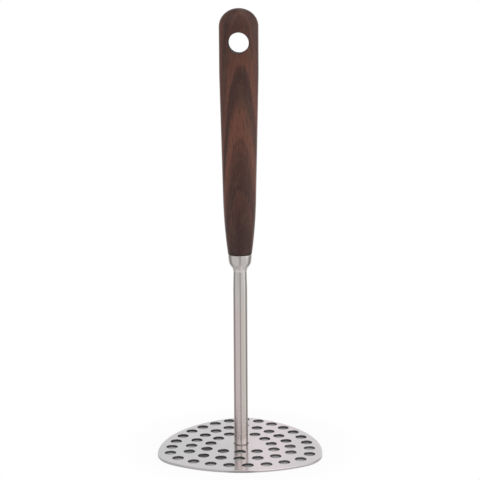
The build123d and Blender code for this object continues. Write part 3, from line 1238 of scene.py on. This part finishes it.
@dataclass
class Handle:
    """The wooden grip, its domed end, its hanging hole, and its tenon and bore in the ferrule."""

    base: float = 120.7 * MM
    overall_height: float = 266.0 * MM
    width: float = 23.05 * MM
    thickness: float = 13.0 * MM
    belly_width: float = 19.65 * MM
    belly_thickness: float = 15.8 * MM
    collar_diameter: float = 14.3 * MM
    belly_rise: float = 33.6 * MM
    level_length: float = 27.5 * MM
    dome_height: float = 10.5 * MM
    collar_edge_radius: float = 0.6 * MM
    hole_radius: float = 6.0 * MM
    hole_drop: float = 19.8 * MM
    hole_edge_radius: float = 0.5 * MM
    tenon_length: float = 5.4 * MM
    tenon_base_radius: float = 6.05 * MM
    tenon_end_radius: float = 5.465 * MM
    bore_radius: float = 2.8 * MM
    bore_length: float = 62.0 * MM
    patch_half_height: float = 8.2 * MM
    side_columns: int = 32
    grip_rows: int = 90
    dome_rows: int = 28
    edge_steps: int = 6
    patch_rings: int = 9
    patch_gather: float = 0.8
    wall_rows: int = 4
    foot_shade: float = 1.4
    finish: DarkWoodFinish = DarkWoodFinish()

    def size_at(self, height: np.ndarray, end: float, belly: float) -> np.ndarray:
        """Half the grip's width or thickness at each height.

        It is level at the end, then a straight line to the belly, and below the belly the line less
        a share that grows with the square of the depth and closes on the collar.

        Args:
            height: The heights.
            end: The full size at the domed end.
            belly: The full size at the belly.

        Returns:
            Half the size at each height.
        """
        level = self.overall_height - self.dome_height - self.level_length
        belly_height = self.base + self.belly_rise
        slope = (end - belly) / (level - belly_height)
        size = belly + slope * (np.minimum(height, level) - belly_height)
        depth = np.clip((belly_height - height) / self.belly_rise, 0.0, None)
        return (size - (belly - slope * self.belly_rise - self.collar_diameter) * depth ** 2) / 2

    def surface_rows(self) -> tuple[np.ndarray, np.ndarray, np.ndarray, int]:
        """Height, half width and half thickness of each row from the bore's top to the dome's pole.

        On the dome the height is shoulder + dome * sin(a), and both sizes are the shoulder's times
        cos(a).

        Returns:
            The three sizes by row, and the number of the row on which the hole's patch starts.
        """
        shoulder = self.overall_height - self.dome_height
        tenon_end = self.base - self.tenon_length
        bore_top = tenon_end + self.bore_length
        hole = self.overall_height - self.hole_drop
        low, high = hole - self.patch_half_height, hole + self.patch_half_height
        inner_radius = np.array([0.0, self.bore_radius, self.bore_radius, self.tenon_end_radius,
                                 self.tenon_base_radius])
        inner_height = np.array([bore_top, bore_top, tenon_end, tenon_end, self.base])
        turn = even_shares(self.edge_steps) * math.pi / 2
        edge = self.collar_edge_radius
        edge_height = self.base + edge * (1 - np.cos(turn))
        edge_inset = edge * (1 - np.sin(turn))
        grip = np.concatenate([
            np.linspace(self.base + edge, low, self.grip_rows, endpoint=False)[1:],
            np.linspace(low, high, self.side_columns, endpoint=False),
            np.linspace(high, shoulder, 2, endpoint=False),
        ])
        climb = even_shares(self.dome_rows) * math.pi / 2
        outer = np.concatenate([edge_height, grip, shoulder + self.dome_height * np.sin(climb)])
        inset = np.concatenate([edge_inset, np.zeros(len(outer) - len(edge_inset))])
        shrink = np.concatenate([np.ones(len(outer) - len(climb)), np.cos(climb)])
        below = np.minimum(outer, shoulder)
        half_width = (self.size_at(below, self.width, self.belly_width) - inset) * shrink
        half_depth = (self.size_at(below, self.thickness, self.belly_thickness) - inset) * shrink
        height = np.concatenate([inner_height, outer])
        half_width = np.concatenate([inner_radius, half_width])
        half_depth = np.concatenate([inner_radius, half_depth])
        first = len(inner_radius) + len(edge_height) + self.grip_rows - 1
        return height, half_width, half_depth, first

    def rim_grid(self, side: int) -> np.ndarray:
        """The surface round one end of the hanging hole, from a square of the grip into the hole.

        Rings move from the square to the circle just outside the rim, from its lower left corner
        round. The rim then turns into the hole's wall along a quadratic curve, and the wall ends
        halfway through the wood. On the grip, y = b * sqrt(1 - (x / a)^2).

        Args:
            side: -1 for the front and 1 for the back.

        Returns:
            Places by ring and step.
        """
        half_width, half_depth = self.width / 2, self.thickness / 2
        hole = self.overall_height - self.hole_drop
        steps = np.arange(self.side_columns) / self.side_columns * 2 - 1
        one = np.ones(self.side_columns)
        u = np.concatenate([steps, one, -steps, -one])
        v = np.concatenate([-one, steps, one, -steps])
        square_x = half_width * np.sin(u * math.pi / 4)
        square_z = hole + v * self.patch_half_height
        first_corner = -0.75 * math.pi
        turn = first_corner + math.tau * np.arange(len(u)) / len(u)
        outer = self.hole_radius + self.hole_edge_radius
        share = even_shares(self.patch_rings, self.patch_gather)[::-1, None]
        ring_x = (1 - share) * outer * np.cos(turn) + share * square_x
        ring_z = (1 - share) * (hole + outer * np.sin(turn)) + share * square_z
        ring_y = half_depth * np.sqrt(1 - (ring_x / half_width) ** 2)
        t = even_shares(self.edge_steps)[1:, None]
        remains = (1 - t) ** 2
        reach = self.hole_radius + remains * self.hole_edge_radius
        corner_y = half_depth * np.sqrt(1 - (self.hole_radius * np.cos(turn) / half_width) ** 2)
        outer_y = half_depth * np.sqrt(1 - (outer * np.cos(turn) / half_width) ** 2)
        rim_y = remains * outer_y + (1 - remains) * corner_y - t ** 2 * self.hole_edge_radius
        wall_y = (1 - even_shares(self.wall_rows)[1:, None]) * rim_y[-1]
        reach = np.concatenate([reach, np.full((len(wall_y), 1), self.hole_radius)])
        x = np.concatenate([ring_x, reach * np.cos(turn)])
        z = np.concatenate([ring_z, hole + reach * np.sin(turn)])
        return np.stack([x, side * np.concatenate([ring_y, rim_y, wall_y]), z], axis=2)

    def build(self) -> None:
        """Makes and dresses the handle: x = a sin(t), y = -b cos(t) on each row.

        The grip's squares round both ends of the hole are left out, and the rims' grids fill them.
        """
        height, half_width, half_depth, first = self.surface_rows()
        columns = 4 * self.side_columns
        angle = math.tau * np.arange(columns) / columns
        grid = np.stack([
            half_width[:, None] * np.sin(angle),
            -half_depth[:, None] * np.cos(angle),
            height[:, None] * np.ones(columns),
        ], axis=2)
        keep = np.ones((len(height) - 1, columns), bool)
        eighth = np.arange(columns) // (self.side_columns // 2)
        front_and_back = (0, 7, 3, 4)
        keep[first:first + self.side_columns] = ~np.isin(eighth, front_and_back)
        skin = Skin()
        skin.add_grid(grid, keep)
        for side in (-1, 1):
            skin.add_grid(self.rim_grid(side))
        piece = skin.build("wood_grip")
        places = point_places(piece)
        off_hole = np.hypot(places[:, 0], places[:, 2] - self.overall_height + self.hole_drop)
        in_hole = (self.hole_radius - off_hole) / self.hole_edge_radius + 1
        # Painted shadow: a dark line at the foot of the wood, where it meets the ferrule.
        at_base = (self.base - places[:, 2]) / self.collar_edge_radius + self.foot_shade
        write_cut_and_shade(piece, np.clip(np.maximum(in_hole, at_base), 0, 1))
        dress(piece, self.finish.material(), "dark_wood", "wood_handle")


@dataclass
class HiddenFixings:
    """The slugs and the tang inside the tube and the wood, which keep their own shapes."""

    nodes: tuple[str, ...] = ("foot_plug", "stem_top_plug", "tang")
    finish: SteelFinish = SteelFinish(
        "inner steel", (0.5, 0.49, 0.48), (0.44, 0.43, 0.42), 0.45, Lay.TURNED)

    def build(self) -> None:
        """Gives each node its finish."""
        material = self.finish.material()
        for node in self.nodes:
            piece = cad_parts[node]
            piece.data.materials.clear()
            piece.data.materials.append(material)
            log.info("%s: kept, finish %s", node, material.name)


@dataclass(frozen=True)
class Screen:
    """A stretch of the studio round the stem that is darker or brighter than the rest.

    Its middle is so many degrees from the camera's side, above zero to the right. It fades between
    two angles off that middle. Its share is what it multiplies the light by or adds to it.
    """

    turn: float
    edges: Edges
    share: float

    def dim(self, turn: Signal) -> Signal:
        """What the light in a direction is multiplied by."""
        return abs(turn - self.turn).step(*self.edges, self.share, 1.0)

    def lift(self, turn: Signal) -> Signal:
        """What is added to the light in a direction."""
        return abs(turn - self.turn).step(*self.edges, self.share, 0.0)


@dataclass(frozen=True)
class Lamp:
    """A soft square lamp: its name, its place, its side and its power in watts."""

    name: str
    place: Place
    side: float
    power: float

    def build(self, target: Place) -> None:
        """Hangs the lamp.

        Args:
            target: What it points at.
        """
        data = bpy.data.lights.new(self.name, "AREA")
        data.size = self.side
        data.energy = self.power
        lamp = bpy.data.objects.new(self.name, data)
        aim = (Vector(target) - Vector(self.place)).to_track_quat("-Z", "Y")
        lamp.matrix_world = Matrix.Translation(self.place) @ aim.to_matrix().to_4x4()
        lamp.visible_camera = False
        lamp.visible_glossy = False
        bpy.context.scene.collection.objects.link(lamp)


@dataclass
class Studio:
    """The white table, the lamps, the world and the camera.

    Metal shows the studio, so the studio has a pattern round the stem: bright screens, a narrow
    dark line where the camera stands, a brighter strip and a faint window in front on the right,
    and dark flags behind. The screens change higher up, and those overhead are brighter on the
    right. Beyond the table's edge it is dim in front, bright on the right and softer on the left.
    Under the plate the table lies in shade, with soft clouds and one deeper patch. Angles are
    degrees from the camera's side. The world's edges across and in height are parts of a direction
    of length 1.
    """

    camera_place: Place = (35.04 * MM, -803.13 * MM, 293.98 * MM)
    camera_turn: float = 0.04353
    camera_pitch: float = 0.20222
    camera_roll: float = -0.0061
    camera_reach: Edges = (0.01, 50.0)
    focal_pixels: float = 1373.0
    sensor_width: float = 36.0
    screen_glow: float = 0.82
    camera_line: Screen = Screen(0.0, (5.0, 14.0), 0.54)
    right_strip: Screen = Screen(78.0, (3.0, 12.0), 0.22)
    rear_flags: Screen = Screen(115.0, (12.0, 32.0), 0.40)
    high_glow: float = 1.23
    high_fall: Edges = (60.0, 110.0)
    high_rise: Edges = (0.16, 0.28)
    high_flags: tuple[Screen, ...] = (
        Screen(5.0, (5.0, 11.0), 0.34),
        Screen(-98.0, (24.0, 44.0), 0.45),
        Screen(125.0, (12.0, 32.0), 0.40),
    )
    window_side: float = 0.64
    window_edges: Edges = (0.16, 0.36)
    window_front: Edges = (0.1, 0.3)
    window_foot: Edges = (0.04, 0.12)
    window_top: Edges = (0.35, 0.5)
    window_lift: float = 0.20
    left_overhead: float = 0.6
    right_overhead: float = 1.5
    overhead_edges: Edges = (-0.25, 0.25)
    overhead_rise: Edges = (0.70, 0.92)
    far_front: Screen = Screen(0.0, (32.0, 78.0), 0.60)
    far_edges: Edges = (-40.0, 40.0)
    left_glow: float = 0.80
    right_glow: float = 1.5
    far_rise: Edges = (0.10, 0.22)
    ambient: float = 0.78
    table_reach: float = 6.0
    table_end: Edges = (0.55, 0.85)
    table_white: float = 0.86
    table_shine_share: float = 0.92
    shadow_edges: Edges = (50.0 * MM, 85.0 * MM)
    shadow_glow_share: float = 0.90
    corner_round: float = 3.6 * MM
    shade_edges: Edges = (-1.0 * MM, -0.2 * MM)
    shade_white: float = 0.45
    shade_shine_share: float = 0.40
    cloud_noise: Noise = Noise((0.075, 0.075, 0.075), 1.0)
    cloud_edges: Edges = (0.35, 0.65)
    cloud_shares: Edges = (0.75, 1.15)
    deep_shade_place: tuple[float, float] = (-18.5 * MM, -16.0 * MM)
    deep_shade_edges: Edges = (5.0 * MM, 20.0 * MM)
    deep_shade_share: float = 0.36
    lamp_target: Place = (0.0, 0.0, 0.15)
    lamps: tuple[Lamp, ...] = (
        Lamp("right lamp", (0.8, -0.5, 0.6), 0.6, 1.2),
        Lamp("top lamp", (-0.2, -0.3, 1.3), 0.8, 1.6),
    )

    def build_camera(self) -> None:
        """Makes the camera at the photograph's place and angle."""
        data = bpy.data.cameras.new("photo camera")
        data.sensor_width = self.sensor_width
        data.lens = self.focal_pixels / IMAGE_SIDE * self.sensor_width
        data.clip_start, data.clip_end = self.camera_reach
        camera = bpy.data.objects.new("photo camera", data)
        turn = Matrix.Rotation(self.camera_turn, 4, "Z")
        tilt = Matrix.Rotation(math.pi / 2 - self.camera_pitch, 4, "X")
        roll = Matrix.Rotation(self.camera_roll, 4, "Z")
        camera.matrix_world = Matrix.Translation(self.camera_place) @ turn @ tilt @ roll
        bpy.context.scene.collection.objects.link(camera)
        bpy.context.scene.camera = camera

    def glow(self, x: Signal, y: Signal) -> tuple[Signal, Signal, Signal]:
        """How bright the studio is in a direction round the stem.

        Args:
            x: The direction's X.
            y: Its Y.

        Returns:
            The brightness of the table and the screens near it, of what lies beyond the table's
            edge, and of the screens higher up.
        """
        toward = x * math.sin(self.camera_turn) - y * math.cos(self.camera_turn)
        aside = x * math.cos(self.camera_turn) + y * math.sin(self.camera_turn)
        turn = aside.angle_from(toward) * math.degrees(1.0)
        line, flags = self.camera_line.dim(turn), self.rear_flags.dim(abs(turn))
        strip = self.right_strip.lift(turn)
        near = line * flags * (self.screen_glow + strip)
        sides = turn.step(*self.far_edges, self.left_glow, self.right_glow)
        far = self.far_front.dim(turn) * sides * flags * line
        high = abs(turn).step(*self.high_fall, self.high_glow, self.screen_glow) + strip
        for flag in self.high_flags:
            high = high * flag.dim(turn)
        return near, far, high

    def window(self, x: Signal, y: Signal, z: Signal) -> Signal:
        """What the faint window, in front on the right, adds in a direction.

        Args:
            x: The direction's X.
            y: Its Y.
            z: Its Z.

        Returns:
            The added brightness.
        """
        across = abs(x - self.window_side).step(*self.window_edges, self.window_lift, 0.0)
        front = (0.0 - y).step(*self.window_front)
        return across * front * z.step(*self.window_foot) * z.step(*self.window_top, 1.0, 0.0)

    def build_world(self) -> None:
        """Makes the world: white to the camera, the studio to steel, even light to the rest."""
        world = bpy.data.worlds.new("studio")
        world.use_nodes = True
        world.cycles.sampling_method = "NONE"
        bpy.context.scene.world = world
        sheet = NodeSheet(world.node_tree)
        x, y, z = sheet.parts(sheet.node("ShaderNodeTexCoord").outputs["Generated"])
        near, far, high = self.glow(x, y)
        overhead = x.step(*self.overhead_edges, self.left_overhead, self.right_overhead)
        screens = near.toward(high, z.step(*self.high_rise))
        screens = screens * (1.0 + z.step(*self.overhead_rise) * (overhead - 1.0))
        screens = screens + self.window(x, y, z)
        shine = screens.toward(far, abs(z).step(*self.far_rise, 1.0, 0.0))
        camera_ray, glossy_ray = sheet.rays()
        strength = self.ambient + glossy_ray * (shine - self.ambient)
        strength = strength + camera_ray * (1.0 - self.ambient)
        white = {"Color": (1.0, 1.0, 1.0, 1.0), "Strength": strength}
        background = sheet.node("ShaderNodeBackground", None, white)
        sheet.node("ShaderNodeOutputWorld", None, {"Surface": background.outputs[0]})

    def build_table(self, plate: MashingPlate) -> None:
        """Makes the white table, which keeps a faint shadow and lies in shade under the plate.

        Args:
            plate: The plate that stands on it.
        """
        mesh = bpy.data.meshes.new("table")
        corners = np.array([(-1, -1, 0), (1, -1, 0), (1, 1, 0), (-1, 1, 0)]) * self.table_reach
        mesh.from_pydata(corners.tolist(), [], [(0, 1, 2, 3)])
        table = bpy.data.objects.new("table", mesh)
        bpy.context.scene.collection.objects.link(table)
        material, sheet = new_material("white table")
        material.cycles.emission_sampling = "NONE"
        x, y, _ = sheet.parts(sheet.node("ShaderNodeTexCoord").outputs["Object"])
        open_table = self.off_plate(x, y, plate).step(*self.shade_edges)
        distance = length(x, y)
        camera_ray, glossy_ray = sheet.rays()
        near, far, _ = self.glow(x, y)
        strength = camera_ray + glossy_ray * near.toward(far, distance.step(*self.table_end))
        tone = open_table.step(0.0, 1.0, self.shade(sheet, x, y), self.table_white)
        lit = sheet.node("ShaderNodeBsdfDiffuse", None, {"Color": sheet.grey(tone)})
        white = sheet.node("ShaderNodeEmission", None, {"Strength": strength})
        away = distance.step(*self.shadow_edges, self.shadow_glow_share, 1.0)
        shiny = open_table.step(0.0, 1.0, self.shade_shine_share, self.table_shine_share)
        share = camera_ray * away * open_table + glossy_ray * shiny
        shaders = {0: share, 1: lit.outputs[0], 2: white.outputs[0]}
        mixed = sheet.node("ShaderNodeMixShader", None, shaders)
        sheet.node("ShaderNodeOutputMaterial", None, {"Surface": mixed.outputs[0]})
        mesh.materials.append(material)

    def shade(self, sheet: NodeSheet, x: Signal, y: Signal) -> Signal:
        """How light the table is under the plate.

        Args:
            sheet: The table's nodes.
            x: The point's X.
            y: Its Y.

        Returns:
            The tone, with its clouds and its deeper patch.
        """
        off_patch = length(x - self.deep_shade_place[0], y - self.deep_shade_place[1])
        deep = off_patch.step(*self.deep_shade_edges, self.deep_shade_share, 1.0)
        cloud = sheet.noise(sheet.place(), self.cloud_noise)
        return deep * cloud.step(*self.cloud_edges, *self.cloud_shares) * self.shade_white

    def off_plate(self, x: Signal, y: Signal, plate: MashingPlate) -> Signal:
        """How far outside the plate a point of the table lies, in metres.

        It is the larger of the distances a from the front arc and b from the nearer side arc, with
        the corner between them rounded: (a + b + sqrt((a - b)^2 + k^2)) / 2.

        Args:
            x: The point's X.
            y: Its Y.
            plate: The plate that stands there.

        Returns:
            The distance, below zero under the plate.
        """
        behind, ahead = y - plate.front_centre(), y + plate.widest_forward
        aside = abs(x) + plate.side_centre()
        front = length(x, behind) - plate.front_radius
        side = length(aside, ahead) - plate.side_radius
        apart = front - side
        return (front + side + (apart * apart + self.corner_round ** 2).root()) * 0.5

    def build(self, plate: MashingPlate) -> None:
        """Sets up the whole studio.

        Args:
            plate: The plate that stands on the table.
        """
        bpy.context.scene.view_settings.view_transform = "Standard"
        self.build_camera()
        self.build_world()
        self.build_table(plate)
        for lamp in self.lamps:
            lamp.build(self.lamp_target)


def main() -> None:
    """Builds every piece, then the studio."""
    logging.basicConfig(level=logging.INFO, format="%(name)s: %(message)s")
    plate = MashingPlate()
    dress(plate.build(), plate.finish.material(), "plate_steel", "masher_plate")
    Stem().build(Ferrule().build())
    Handle().build()
    HiddenFixings().build()
    Studio().build(plate)


if __name__ == "__main__":
    main()
